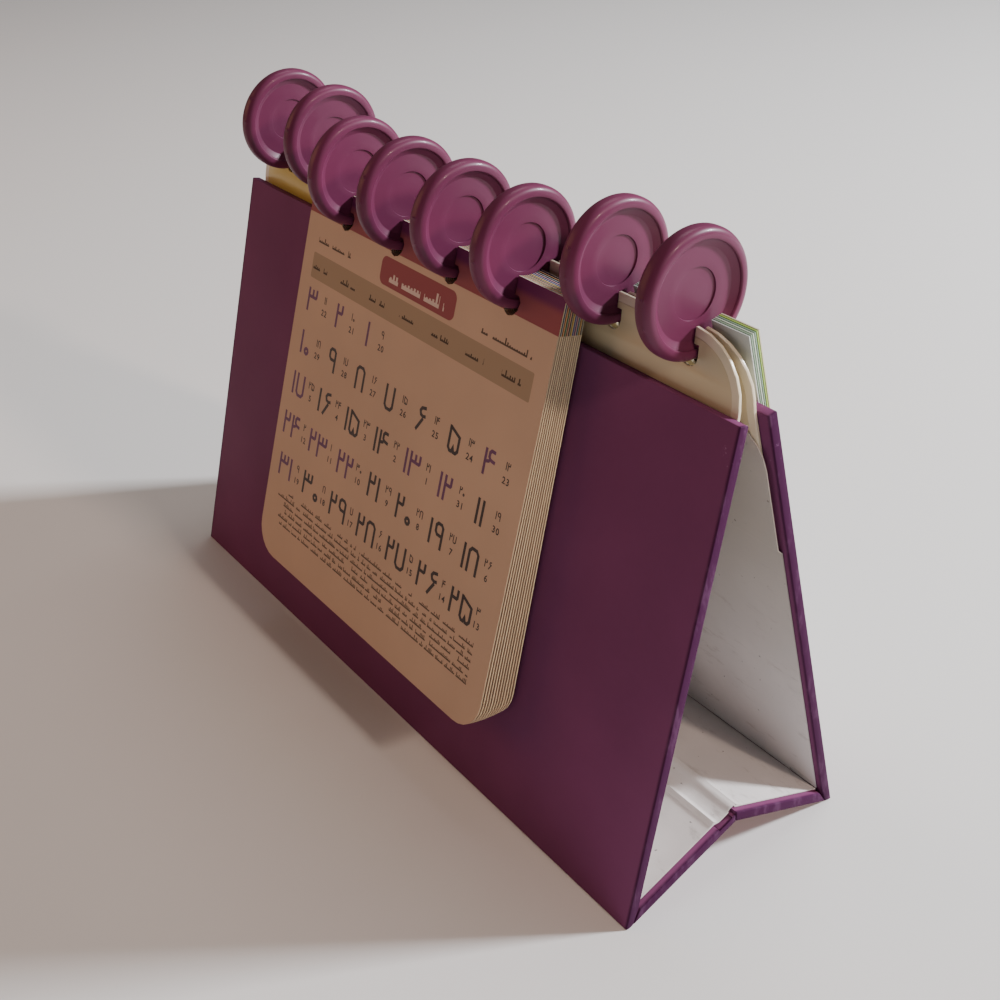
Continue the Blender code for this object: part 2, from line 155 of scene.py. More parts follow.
class CalendarPrint(bpy.types.PropertyGroup):
    """What is printed on a date leaf, measured down from the binding axis."""

    paper: colour("Leaf paper", "Tinted card of the date leaves", (0.60, 0.405, 0.280))
    cut_edge: colour("Cut edge", "Cream cut edges of the leaves", (0.95, 0.82, 0.52))
    thicker: size("Thicker", "How much thicker the card looks than its stiff core", 0.13 * MM)
    hole_middle: size("Hole middle", "From the axis down to the middle of the round holes", 13.5 * MM)
    hole_drop: size("Hole drop", "How far a worn hole reaches below its punched edge", 1.7 * MM)
    hole_side: size("Hole side", "How far a worn hole reaches past its right edge", 1.0 * MM)
    header: colour("Header", "Band along the first leaf's top", (0.285, 0.074, 0.082))
    weekday_band: colour("Weekday band", "Band behind the weekday names", (0.27, 0.198, 0.112))
    ink: colour("Ink", "Dark print", (0.022, 0.014, 0.016))
    holiday_ink: colour("Holiday ink", "Print of the marked days", (0.105, 0.027, 0.092))
    header_low: size("Header edge", "Lower edge of the header band", 16.9 * MM)
    title_place: size("Title place", "Middle of the rounded title plate", 22.9 * MM)
    title_width: size("Title width", "Width of the rounded title plate", 35.2 * MM)
    title_height: size("Title height", "Height of the rounded title plate", 8.2 * MM)
    band_place: size("Band place", "Middle of the weekday band", 32.2 * MM)
    band_width: size("Band width", "Width of the weekday band", 104.0 * MM)
    band_height: size("Band height", "Height of the weekday band", 7.8 * MM)
    first_row: size("First row", "Middle of the first row of dates", 42.8 * MM)
    row_pitch: size("Row pitch", "From one row of dates to the next", 13.55 * MM)
    right_column: size("Right column", "Middle of the column furthest right", 43.6 * MM)
    column_pitch: size("Column pitch", "From one column of dates to the next", 15.25 * MM)
    date_size: size("Date size", "Height of the dates", 7.3 * MM)
    date_stroke: size("Date stroke", "Thickness of the dates' strokes", 0.94 * MM)
    small_size: size("Small size", "Type size of the two small numbers", 2.6 * MM)
    notes_place: size("Notes place", "Middle of the lines of fine print", 109.6 * MM)
    notes_width: size("Notes width", "Width of the lines of fine print", 101.0 * MM)
    notes_pitch: size("Notes pitch", "From one fine line to the next", 2.15 * MM)


class CalendarStage(bpy.types.PropertyGroup):
    """Camera, floor and light."""

    turn: angle("Turn", "Camera round the stand", 57.06)
    rise: angle("Rise", "Camera above the horizon", 24.20)
    roll: angle("Roll", "Camera tilt", -3.20)
    distance: size("Distance", "From the camera to the stand's middle", 396.69 * MM)
    aim_height: size("Aim height", "Height of the stand's middle", 90.0 * MM)
    aim_right: size("Aim right", "How far the camera stands to the right", 10.57 * MM)
    aim_up: size("Aim up", "How far the camera stands up", 36.47 * MM)
    lens: FloatProperty(name="Lens", description="Focal length in millimetres on a 36 mm sensor", default=52.03)
    shift_x: FloatProperty(name="Shift X", description="Sideways shift of the frame", default=0.10)
    shift_y: FloatProperty(name="Shift Y", description="Upward shift of the frame", default=-0.20)
    floor: colour("Floor", "Plain pale floor", (0.76, 0.75, 0.74))


def deselect():
    bpy.ops.object.select_all(action="DESELECT")


def take(obj):
    """Makes one object the only selected and the active one."""
    deselect()
    obj.select_set(True)
    bpy.context.view_layer.objects.active = obj


def newest(name):
    """Names the object that the last operator added."""
    obj = bpy.context.active_object
    obj.name = name
    obj.data.name = name
    return obj


@contextmanager
def editing(obj):
    """Puts one object into edit mode for the lines that follow."""
    take(obj)
    bpy.ops.object.mode_set(mode="EDIT")
    yield
    bpy.ops.object.mode_set(mode="OBJECT")


def pick(obj, kind, chosen):
    """Selects, in edit mode, only the vertices, edges or faces that a rule chooses."""
    bpy.ops.mesh.select_mode(type=kind)
    bpy.ops.mesh.select_all(action="DESELECT")
    bm = bmesh.from_edit_mesh(obj.data)
    for part in {"VERT": bm.verts, "EDGE": bm.edges, "FACE": bm.faces}[kind]:
        if chosen(part):
            part.select_set(True)
    bmesh.update_edit_mesh(obj.data)


def merged_copy(node, name):
    """A copy of a frame piece with its loose triangles joined into clean flat faces."""
    obj = bpy.data.objects.new(name, frame["nodes"][node].data.copy())
    bpy.context.scene.collection.objects.link(obj)
    take(obj)
    bpy.ops.mesh.customdata_custom_splitnormals_clear()
    with editing(obj):
        bpy.ops.mesh.select_all(action="SELECT")
        bpy.ops.mesh.remove_doubles(threshold=0.002 * MM)
        bpy.ops.mesh.dissolve_limited(angle_limit=math.radians(0.5))
    return obj


def round_edges(obj, width, segments, chosen):
    """Bevels the sharp edges that a rule picks by their two ends."""

    def sharp_and_chosen(edge):
        sharp = len(edge.link_faces) == 2 and edge.calc_face_angle() > math.radians(20)
        return sharp and chosen(edge.verts[0].co, edge.verts[1].co)

    with editing(obj):
        pick(obj, "EDGE", sharp_and_chosen)
        bpy.ops.mesh.bevel(offset=width, segments=segments, profile=0.5, affect="EDGES", clamp_overlap=True)


def dress(obj, body, slot, *materials, smooth=35.0, stands_for=()):
    """Gives a new piece its materials, its shading, its body and the frame pieces that it stands for."""
    if obj.data.materials:
        obj.data.materials.clear()
    for material in materials:
        obj.data.materials.append(material)
    take(obj)
    bpy.ops.object.shade_smooth_by_angle(angle=math.radians(smooth))
    if body:
        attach(obj, body)
    if stands_for:
        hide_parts(*stands_for)


def recolour(node, material):
    """Puts a material into a frame piece's own slots."""
    materials = frame["nodes"][node].data.materials
    for index in range(len(materials)):
        materials[index] = material


class Finish:
    """One procedural material, built up from short node calls on the piece's own coordinates."""

    def __init__(self, name, base, roughness, **sockets):
        self.material = bpy.data.materials.new(name)
        self.material.use_nodes = True
        self.tree = self.material.node_tree
        self.shader = self.tree.nodes["Principled BSDF"]
        self.set("Base Color", (*base, 1.0))
        self.set("Roughness", roughness)
        for socket, value in sockets.items():
            self.set(socket.replace("_", " "), value)
        self.place = self.node("TexCoord").outputs["Object"]

    def node(self, kind, *inputs, **settings):
        made = self.tree.nodes.new("ShaderNode" + kind)
        for key, value in settings.items():
            setattr(made, key, value)
        for socket, value in inputs:
            self.feed(made.inputs[socket], value)
        return made

    def feed(self, socket, value):
        if isinstance(value, bpy.types.NodeSocket):
            self.tree.links.new(value, socket)
        else:
            socket.default_value = value

    def set(self, socket, value):
        self.feed(self.shader.inputs[socket], value)

    def math(self, operation, a, b=0.0):
        return self.node("Math", (0, a), (1, b), operation=operation).outputs[0]

    def times(self, a, b):
        return self.math("MULTIPLY", a, b)

    def axes(self, place=None):
        split = self.node("SeparateXYZ", (0, place or self.place))
        return split.outputs[0], split.outputs[1], split.outputs[2]

    def noise(self, scale, detail=2.0, rough=0.5, stretch=(1, 1, 1), shift=(0, 0, 0), place=None):
        spread = self.node("Mapping", (0, place or self.place), (1, shift), (3, stretch)).outputs[0]
        values = (("Vector", spread), ("Scale", scale), ("Detail", detail), ("Roughness", rough))
        return self.node("TexNoise", *values).outputs[0]

    def step(self, value, low, high):
        """0 below low, 1 above high and smooth between them."""
        made = self.node("MapRange", (0, value), (1, low), (2, high), interpolation_type="SMOOTHSTEP")
        return made.outputs[0]

    def span(self, value, low, high):
        """A value from 0 to 1 turned into a value from low to high."""
        return self.node("MapRange", (0, value), (3, low), (4, high)).outputs[0]

    def within(self, value, low, high):
        return self.times(self.math("GREATER_THAN", value, low), self.math("LESS_THAN", value, high))

    def mix(self, factor, a, b):
        made = self.node("Mix", data_type="RGBA")
        for socket, value in ((0, factor), (6, a), (7, b)):
            flat = isinstance(value, (tuple, bpy.types.bpy_prop_array))
            self.feed(made.inputs[socket], (*value, 1.0) if flat else value)
        return made.outputs[2]

    def over(self, body, top, mask, share):
        """A body colour with another laid over it where the mask is, at a share of its strength."""
        return self.mix(self.times(mask, share), body, top)

    def bump(self, height, distance, strength=1.0, under=None):
        made = self.node("Bump", ("Height", height), ("Distance", distance), ("Strength", strength))
        if under:
            self.feed(made.inputs["Normal"], under)
        return made.outputs[0]


def tint(base, share):
    """The same colour, lighter or darker."""
    return tuple(min(channel * share, 1.0) for channel in base)


def cover_finish(name, cover):
    """Laminated wrap paper: soft sheen, faint smudges, end faces painted darker as shade and lightly rubbed, and
    small pale chips along the edges.
    """
    paper, worn = tuple(cover.paper), tuple(cover.worn)
    finish = Finish(name, paper, 0.5, Specular_IOR_Level=0.04)
    half_width = cad_box[1].x
    x, _, z = finish.axes()
    cloudy = finish.noise(14.0, 3.0, 0.55)
    fine = finish.noise(420.0, 3.0, 0.6)
    body = finish.mix(finish.step(cloudy, 0.3, 0.7), tint(paper, 0.95), tint(paper, 1.20))
    body = finish.over(body, tint(paper, 1.5), fine, 0.14)
    from_middle = finish.math("ABSOLUTE", x)
    end = finish.step(from_middle, half_width - 1.1 * MM, half_width - 0.1 * MM)
    rubbed = finish.step(finish.noise(260.0, 4.0, 0.65, stretch=(1, 1, 0.35)), 0.50, 0.66)
    # Painted shade: the end faces are painted darker than the face of the cover; the rubbed wear laid over them
    # next is real.
    body = finish.mix(end, body, (paper[0] * 0.34, paper[1] * 0.25, paper[2] * 0.40))
    body = finish.mix(finish.times(end, finish.times(rubbed, 0.10)), body, worn)
    corner = finish.step(z, 108.0 * MM, 127.0 * MM)
    right = finish.step(x, half_width - 5.0 * MM, half_width - 0.5 * MM)
    chips = finish.step(finish.noise(430.0, 4.0, 0.75), 0.62, 0.70)
    chipped = finish.times(finish.times(corner, right), chips)
    body = finish.over(body, tint(worn, 1.25), chipped, 0.7)
    finish.set("Base Color", body)
    smudge = finish.noise(45.0, 4.0, 0.6, stretch=(1, 1, 0.4), shift=(0.3, 0.1, 0.2))
    finish.set("Roughness", finish.span(smudge, 0.42, 0.60))
    waves = finish.bump(finish.noise(22.0, 2.0, 0.4), 0.35 * MM, 0.6)
    grain = finish.bump(finish.noise(2600.0, 2.0, 0.5), 0.012 * MM, 0.7, under=waves)
    finish.set("Normal", grain)
    return finish.material


def lining_finish(name, cover, wrinkled=False):
    """Matt white paper with painted shade that greys it towards the top, faint clouds, a few dark specks and light
    scuffs.
    """
    lining = tuple(cover.lining)
    finish = Finish(name, lining, 0.62)
    clouds = finish.noise(30.0, 4.0, 0.6)
    body = finish.mix(finish.step(clouds, 0.35, 0.7), tint(lining, 0.90), tint(lining, 1.03))
    # Painted shade: the paper is painted greyer towards the top.
    height = finish.step(finish.axes()[2], 15.0 * MM, 100.0 * MM)
    body = finish.over(body, (0.40, 0.36, 0.31), height, 0.8)
    rubbed = finish.noise(160.0, 5.0, 0.7, stretch=(0.5, 1, 1.6), shift=(0.2, 0.4, 0.1))
    scuffs = finish.step(rubbed, 0.56, 0.72)
    body = finish.over(body, (0.42, 0.37, 0.35), scuffs, 0.55)
    specks = finish.step(finish.noise(700.0, 1.0, 0.4), 0.77, 0.81)
    body = finish.over(body, (0.10, 0.08, 0.07), specks, 0.7)
    finish.set("Base Color", body)
    finish.set("Roughness", finish.span(clouds, 0.52, 0.72))
    soft = finish.bump(finish.noise(60.0, 3.0, 0.5), 0.25 * MM, 0.6)
    if wrinkled:
        soft = finish.bump(finish.noise(380.0, 3.0, 0.6, stretch=(1, 0.3, 0.3)), 0.18 * MM, 0.8, under=soft)
    finish.set("Normal", finish.bump(finish.noise(3000.0, 3.0, 0.6), 0.015 * MM, 0.8, under=soft))
    return finish.material


def card_finish(name, cover, place):
    """Laminated cream card with a paler border of clear film along its top; warm light is painted on its left end
    as a yellow tint.
    """
    card = tuple(cover.card)
    finish = Finish(name, card, 0.34, Coat_Weight=0.35, Coat_Roughness=0.18, Subsurface_Weight=0.06)
    finish.set("Subsurface Radius", (0.002, 0.0015, 0.001))
    across, up, _ = finish.axes(on_leaf(finish, place))
    depth = 120.0 * MM
    inside = rounded_plate(
        finish, across, up, cover.strip_top + cover.film_border + depth / 2,
        cover.strip_width - 2 * cover.film_border, depth, cover.strip_corner - cover.film_border, 0.12 * MM,
    )
    clouds = finish.noise(26.0, 3.0, 0.5)
    body = finish.mix(finish.step(clouds, 0.3, 0.7), tint(card, 0.94), tint(card, 1.05))
    dots = finish.step(finish.noise(700.0, 2.0, 0.5), 0.74, 0.80)
    body = finish.over(body, tint(card, 0.55), dots, 0.35)
    # Painted light: the left end is tinted yellow as if a warm light fell on it.
    painted_warm_light = finish.step(finish.axes()[0], -45.0 * MM, -75.0 * MM)
    body = finish.mix(painted_warm_light, body, (card[0], card[1] * 0.95, card[2] * 0.38))
    finish.set("Base Color", finish.mix(inside, tuple(cover.film), body))
    finish.set("Roughness", finish.span(finish.noise(120.0, 3.0, 0.6), 0.28, 0.42))
    pressed = finish.bump(inside, 0.12 * MM, 1.0)
    waves = finish.bump(finish.noise(35.0, 2.0, 0.4), 0.2 * MM, 0.5, under=pressed)
    finish.set("Normal", finish.bump(finish.noise(1800.0, 2.0, 0.5), 0.008 * MM, 0.6, under=waves))
    return finish.material


def board_finish(name, cover):
    """Bare grey board with fibres."""
    board = tuple(cover.board)
    finish = Finish(name, board, 0.9)
    fibres = finish.noise(900.0, 4.0, 0.7, stretch=(0.4, 1, 1))
    finish.set("Base Color", finish.mix(fibres, tint(board, 0.8), tint(board, 1.2)))
    finish.set("Normal", finish.bump(fibres, 0.05 * MM, 0.8))
    return finish.material


class CALENDAR_OT_covers(bpy.types.Operator):
    """Rounds the wrapped covers' outer edges and gives covers, boards and strips their finish"""

    bl_idname = "calendar.covers"
    bl_label = "Covers and Strips"

    def execute(self, context):
        cover = context.scene.calendar_cover
        wrap = cover_finish("cover_wrap", cover)
        end = cad_box[1].x - 0.15 * MM
        for node in ("front_panel_cover", "rear_panel_cover", "base_front_cover", "base_rear_cover"):
            piece = merged_copy(node, node.replace("_cover", "_wrap"))
            round_edges(piece, cover.edge_radius, 3, lambda a, b: abs(a.x) > end and abs(b.x) > end)
            dress(piece, body_of_node[node], "cover", wrap, stands_for=(node,))
        for node in ("front_strip", "rear_strip"):
            card = card_finish(node + "_film", cover, leaf_frame(node, "wide_leaf_1_turn"))
            piece = merged_copy(node, node + "_card")
            round_edges(piece, cover.strip_edge, 2, lambda a, b: True)
            dress(piece, body_of_node[node], "strip", card, stands_for=(node,))
        recolour("base_spine_strip", wrap)
        board = board_finish("grey_board", cover)
        for node, slot in ((part["node"], part["material_slot"]) for part in frame["record"]["subparts"]):
            if slot == "board" and node != "base_spine_strip":
                recolour(node, board)
        return {"FINISHED"}


def section(node):
    """The corners of a straight piece's cross-section, from front to rear."""
    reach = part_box(node)[1].x - 0.01 * MM
    ends = {(round(v.co.y, 6), round(v.co.z, 6)) for v in frame["nodes"][node].data.vertices if v.co.x > reach}
    return [Vector((0.0, y, z)) for y, z in sorted(ends)]


def add_skin(name, line, half_width, thickness, cuts, unevenness):
    """Draws an edge across the stand, pulls it along a line and thickens it into paper."""
    deselect()
    bpy.ops.mesh.primitive_plane_add(size=2.0, location=(0.0, 0.0, 0.0))
    skin = newest(name)
    with editing(skin):
        pick(skin, "VERT", lambda vertex: vertex.co.y > 0.0)
        bpy.ops.mesh.delete(type="VERT")
        bpy.ops.mesh.select_all(action="SELECT")
        bpy.ops.transform.resize(value=(half_width, 1.0, 1.0))
        bpy.ops.transform.translate(value=line[0] + Vector((0.0, 1.0, 0.0)))
        for last, place in zip(line, line[1:]):
            bpy.ops.mesh.extrude_region_move(TRANSFORM_OT_translate={"value": place - last})
        if cuts:
            pick(skin, "EDGE", lambda edge: abs(edge.verts[0].co.x - edge.verts[1].co.x) > half_width)
            bpy.ops.mesh.subdivide(number_cuts=cuts)
            bpy.ops.mesh.select_all(action="SELECT")
            bpy.ops.transform.vertex_random(offset=unevenness, uniform=0.0, normal=1.0, seed=7)
        bpy.ops.mesh.select_all(action="SELECT")
        bpy.ops.mesh.normals_make_consistent(inside=False)
    shell = skin.modifiers.new("paper", "SOLIDIFY")
    shell.thickness = thickness
    faces_up = sum(face.normal.z for face in skin.data.polygons) > 0
    shell.offset = 1.0 if faces_up == bool(cuts) else -1.0
    take(skin)
    bpy.ops.object.modifier_apply(modifier=shell.name)
    return skin


class CALENDAR_OT_linings(bpy.types.Operator):
    """Gives the white linings their finish and runs the paper over the three folds"""

    bl_idname = "calendar.linings"
    bl_label = "Linings and Folds"

    def execute(self, context):
        cover = context.scene.calendar_cover
        lining = lining_finish("lining_paper", cover)
        for node in ("front_panel_liner", "rear_panel_liner", "base_front_liner", "base_rear_liner"):
            recolour(node, lining)
        front, rear = section("base_front_liner")[::2], section("base_rear_liner")[1::2]
        climb, fall = (front[1] - front[0]).normalized(), (rear[1] - rear[0]).normalized()
        up = Vector((0.0, 0.0, MM))
        hinge_low, hinge_high = front[3] + up * 0.06, rear[0] + up * 0.20
        crease = up * 0.42
        # The paper leaves the front half, creases, dips, gives over the fold and creases once more.
        ridge = [front[1] - climb * 1.3 * MM + up * 0.05, front[1] - climb * 0.5 * MM + up * 0.09]
        ridge += [front[1] - climb * 0.12 * MM + crease, front[1] + climb * 0.12 * MM + crease]
        ridge += [front[1] * 0.6 + front[2] * 0.4 + up * 0.10, front[2] + up * 0.09]
        for step in range(9):
            share = step / 8
            ridge.append(hinge_low.lerp(hinge_high, share) + up * 0.30 * math.sin(math.pi * share))
        ridge += [rear[0] + fall * 0.45 * MM + crease, rear[0] + fall * 0.8 * MM + up * 0.14]
        ridge += [rear[0] + fall * 2.2 * MM + up * 0.05]
        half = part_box("base_front_liner")[1].x - 0.1 * MM
        fold = add_skin("mid_fold_lining", ridge, half, cover.skin, cuts=FOLD_CUTS, unevenness=0.05 * MM)
        dress(fold, None, "liner", lining_finish("fold_lining", cover, wrinkled=True), smooth=50.0)
        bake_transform(fold)
        middle = joint_place["base_mid_fold"]
        slope = middle.z / (middle.y - cover.foot_half)
        # Millimetres in from the fold's edge: the ten close places between them bend, the rest stay flat.
        places = [1.1, 1.4] + [1.45 + 0.05 * step for step in range(10)] + [2.2, 8.0]
        for name, stand, base, side in (
            ("front_fold_paper", "front_stand", "base_front", -1.0),
            ("rear_fold_paper", "rear_stand", "base_rear", 1.0),
        ):
            line = []
            for place in places:
                run = place * MM - cover.foot_half
                away = middle.y - place * MM
                line.append(Vector((0.0, middle.y + side * away, run * slope - cover.skin_gap)))
            paper = add_skin(name, line, cad_box[1].x - cover.edge_radius, cover.skin, cuts=0, unevenness=0.0)
            dress(paper, None, "cover", bpy.data.materials["cover_wrap"], smooth=50.0)
            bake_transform(paper)
        return {"FINISHED"}


def add_disc(name, settings, node):
    """Models one disc as by hand: a round blank with its rim, web, sunk mark and nubs pressed into it."""
    low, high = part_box(node)
    radius = (high.z - low.z) / 2
    width = high.x - low.x
    bpy.ops.mesh.primitive_cylinder_add(
        vertices=DISC_SIDES, radius=radius, depth=width, end_fill_type="NGON", rotation=(0.0, math.pi / 2, 0.0)
    )
    disc = newest(name)
    bpy.ops.object.transform_apply(location=True, rotation=True, scale=True)
    shoulder = radius - settings.rim_face
    wall = width / 2 - settings.wall_depth
    web, mark, sunk = settings.web / 2, settings.mark_radius, settings.web / 2 - settings.mark_depth
    # Radius and height of each ring, from the rim's outside over the steep wall and the web into the sunk mark.
    profile = (
        (radius, width / 2), (shoulder, width / 2),
        (shoulder - 0.12 * MM, wall), (shoulder - 0.2 * MM, wall - 0.05 * MM),
        (settings.web_radius + 0.1 * MM, web + 0.03 * MM), (settings.web_radius, web),
        (settings.web_radius - 0.2 * MM, web), (mark + 2.0 * MM, web + 0.08 * MM),
        (mark + 0.1 * MM, web + 0.12 * MM), (mark, web + 0.10 * MM),
        (mark - 0.12 * MM, sunk + 0.02 * MM), (mark - 0.25 * MM, sunk),
        (mark * 0.6, sunk + 0.03 * MM), (mark * 0.3, sunk + 0.05 * MM),
    )
    with editing(disc):
        pick(disc, "FACE", lambda face: abs(face.normal.x) > 0.9)
        for (outer, height), (inner, lower) in zip(profile, profile[1:]):
            bpy.ops.mesh.inset(thickness=outer - inner, depth=lower - height, use_individual=True)
    side = width / 2 - 0.05 * MM

    def on_ring(point, ring_radius):
        return abs(math.hypot(point.y, point.z) - ring_radius) < 0.2 * MM and abs(point.x) > side

    round_edges(disc, settings.rim_round, 7, lambda a, b: on_ring(a, radius) and on_ring(b, radius))
    round_edges(disc, settings.rim_inner_round, 4, lambda a, b: on_ring(a, shoulder) and on_ring(b, shoulder))

    def on_nub(face):
        middle = face.calc_center_median()
        angle = math.degrees(math.atan2(middle.z, middle.y)) % 360
        crown = math.hypot(middle.y, middle.z) > radius * 0.985
        return crown and middle.x > 0 and any(abs(angle - place) < NUB_REACH for place in NUB_PLACES)

    with editing(disc):
        pick(disc, "FACE", on_nub)
        bpy.ops.mesh.inset(thickness=0.20 * MM, depth=settings.nub, use_individual=True)
    return disc


def disc_finish(name, settings):
    """Moulded plastic: glossy, with faint flow marks, scratches and grease."""
    plastic = tuple(settings.plastic)
    finish = Finish(name, plastic, 0.3, Specular_IOR_Level=0.20, Coat_Weight=0.07, Coat_Roughness=0.12)
    flow = finish.noise(60.0, 3.0, 0.5, stretch=(1, 0.4, 1))
    body = finish.mix(finish.step(flow, 0.3, 0.7), tint(plastic, 0.92), tint(plastic, 1.08))
    dust = finish.step(finish.noise(1500.0, 2.0, 0.5), 0.70, 0.80)
    finish.set("Base Color", finish.mix(finish.times(dust, 0.25), body, tint(plastic, 1.9)))
    scratched = finish.noise(300.0, 4.0, 0.7, stretch=(1, 0.15, 1.4))
    finish.set("Roughness", finish.span(scratched, 0.30, 0.52))
    waves = finish.bump(finish.noise(90.0, 2.0, 0.5), 0.10 * MM, 0.5)
    finish.set("Normal", finish.bump(scratched, 0.012 * MM, 0.5, under=waves))
    return finish.material


class CALENDAR_OT_discs(bpy.types.Operator):
    """Models one binding disc and copies it to the eight places in the frame"""

    bl_idname = "calendar.discs"
    bl_label = "Binding Discs"

    def execute(self, context):
        settings = context.scene.calendar_discs
        plastic = disc_finish("mauve_plastic", settings)
        pattern = add_disc("disc_pattern", settings, discs[0])
        for number, node in enumerate(discs):
            low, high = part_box(node)
            mesh = pattern.data.copy()
            turn = Matrix.Rotation(math.radians(DISC_TURNS[number]), 4, "X")
            mesh.transform(Matrix.Translation((low + high) / 2) @ turn)
            piece = bpy.data.objects.new("%s_moulding" % node, mesh)
            context.scene.collection.objects.link(piece)
            dress(piece, body_of_node[node], "disc", plastic, smooth=30.0, stands_for=(node,))
        bpy.data.objects.remove(pattern, do_unlink=True)
        return {"FINISHED"}


def leaf_frame(node, joint):
    """Place and axes of a leaf's printed side: X along the width, Y up the leaf, Z out of the paper."""
    mesh = frame["nodes"][node].data
    largest = max(mesh.polygons, key=lambda face: face.area)
    outward = largest.normal.copy()
    if node.startswith("date") == (outward.y > 0):
        outward.negate()
    outward.x = 0.0
    outward.normalize()
    up = Vector((0.0, -outward.z, outward.y)) if outward.y > 0 else Vector((0.0, outward.z, -outward.y))
    axis = joint_place[joint]
    reach = max((vertex.co - axis).dot(outward) for vertex in mesh.vertices)
    across = up.cross(outward)
    place = Matrix((across, up, outward)).transposed().to_4x4()
    place.translation = axis + outward * reach
    return place


def on_leaf(finish, place):
    """The print's own coordinates on a leaf: across, up from the axis, and out of the paper."""
    turn = tuple(place.to_euler())
    mapped = finish.node(
        "Mapping", (0, finish.place), (1, tuple(place.translation)), (2, turn), vector_type="TEXTURE"
    )
    return mapped.outputs[0]


def rounded_plate(finish, across, up, middle, width, height, radius, soft=0.05 * MM):
    """1 inside a plate with round corners, 0 outside; its middle lies this far down from the axis."""
    dx = finish.math("SUBTRACT", finish.math("ABSOLUTE", across), width / 2 - radius)
    from_middle = finish.math("ABSOLUTE", finish.math("ADD", up, middle))
    dy = finish.math("SUBTRACT", from_middle, height / 2 - radius)
    dx = finish.math("MAXIMUM", dx, 0.0)
    dy = finish.math("MAXIMUM", dy, 0.0)
    far = finish.math("SQRT", finish.math("ADD", finish.times(dx, dx), finish.times(dy, dy)))
    return finish.math("SUBTRACT", 1.0, finish.step(far, radius - soft, radius + soft))


def strokes(finish, across, up, left, right, middle, rows, pitch, body, cell, ragged=0.0):
    """Rows of upright strokes that stand for print and spell nothing, with gaps as between words."""
    row = finish.math("DIVIDE", finish.math("ADD", up, middle + rows * pitch / 2), pitch)
    level = finish.math("FLOOR", row)
    column = finish.math("DIVIDE", across, cell)
    place = finish.node("CombineXYZ", (0, finish.math("FLOOR", column)), (1, level), (2, middle * 1000.0))
    chance = finish.node("TexWhiteNoise", ("Vector", place.outputs[0])).outputs[0]
    rest = finish.math("FRACT", row)
    foot = 0.5 - body / 2
    high = finish.span(finish.math("POWER", chance, 2.2), foot + body * 0.30, foot + body)
    upright = finish.within(finish.math("FRACT", column), 0.22, 0.80)
    upright = finish.times(finish.within(rest, foot, high), upright)
    joined = finish.math("MAXIMUM", upright, finish.within(rest, foot, foot + body * 0.24))
    along, down = finish.times(column, 0.30), finish.times(level, 3.7)
    word = finish.node("CombineXYZ", (0, along), (1, down))
    words = finish.node("TexNoise", ("Vector", word.outputs[0]), ("Scale", 1.0), ("Detail", 0.0)).outputs[0]
    line = finish.node("TexWhiteNoise", ("W", level), noise_dimensions="1D").outputs[0]
    start = finish.math("ADD", left, finish.times(line, ragged))
    inside = finish.within(across, start, right)
    for mask in (finish.within(row, 0.0, float(rows)), joined, finish.math("GREATER_THAN", words, 0.40)):
        inside = finish.times(inside, mask)
    return inside


# Header colours of the twelve date leaves; the first leaf's is a setting.
header_hues = (
    None, (0.045, 0.09, 0.16), (0.50, 0.16, 0.03), (0.05, 0.16, 0.09), (0.40, 0.10, 0.08), (0.03, 0.035, 0.05),
    (0.52, 0.34, 0.06), (0.06, 0.10, 0.30), (0.25, 0.05, 0.16), (0.02, 0.13, 0.16), (0.42, 0.20, 0.04),
    (0.10, 0.11, 0.12),
)


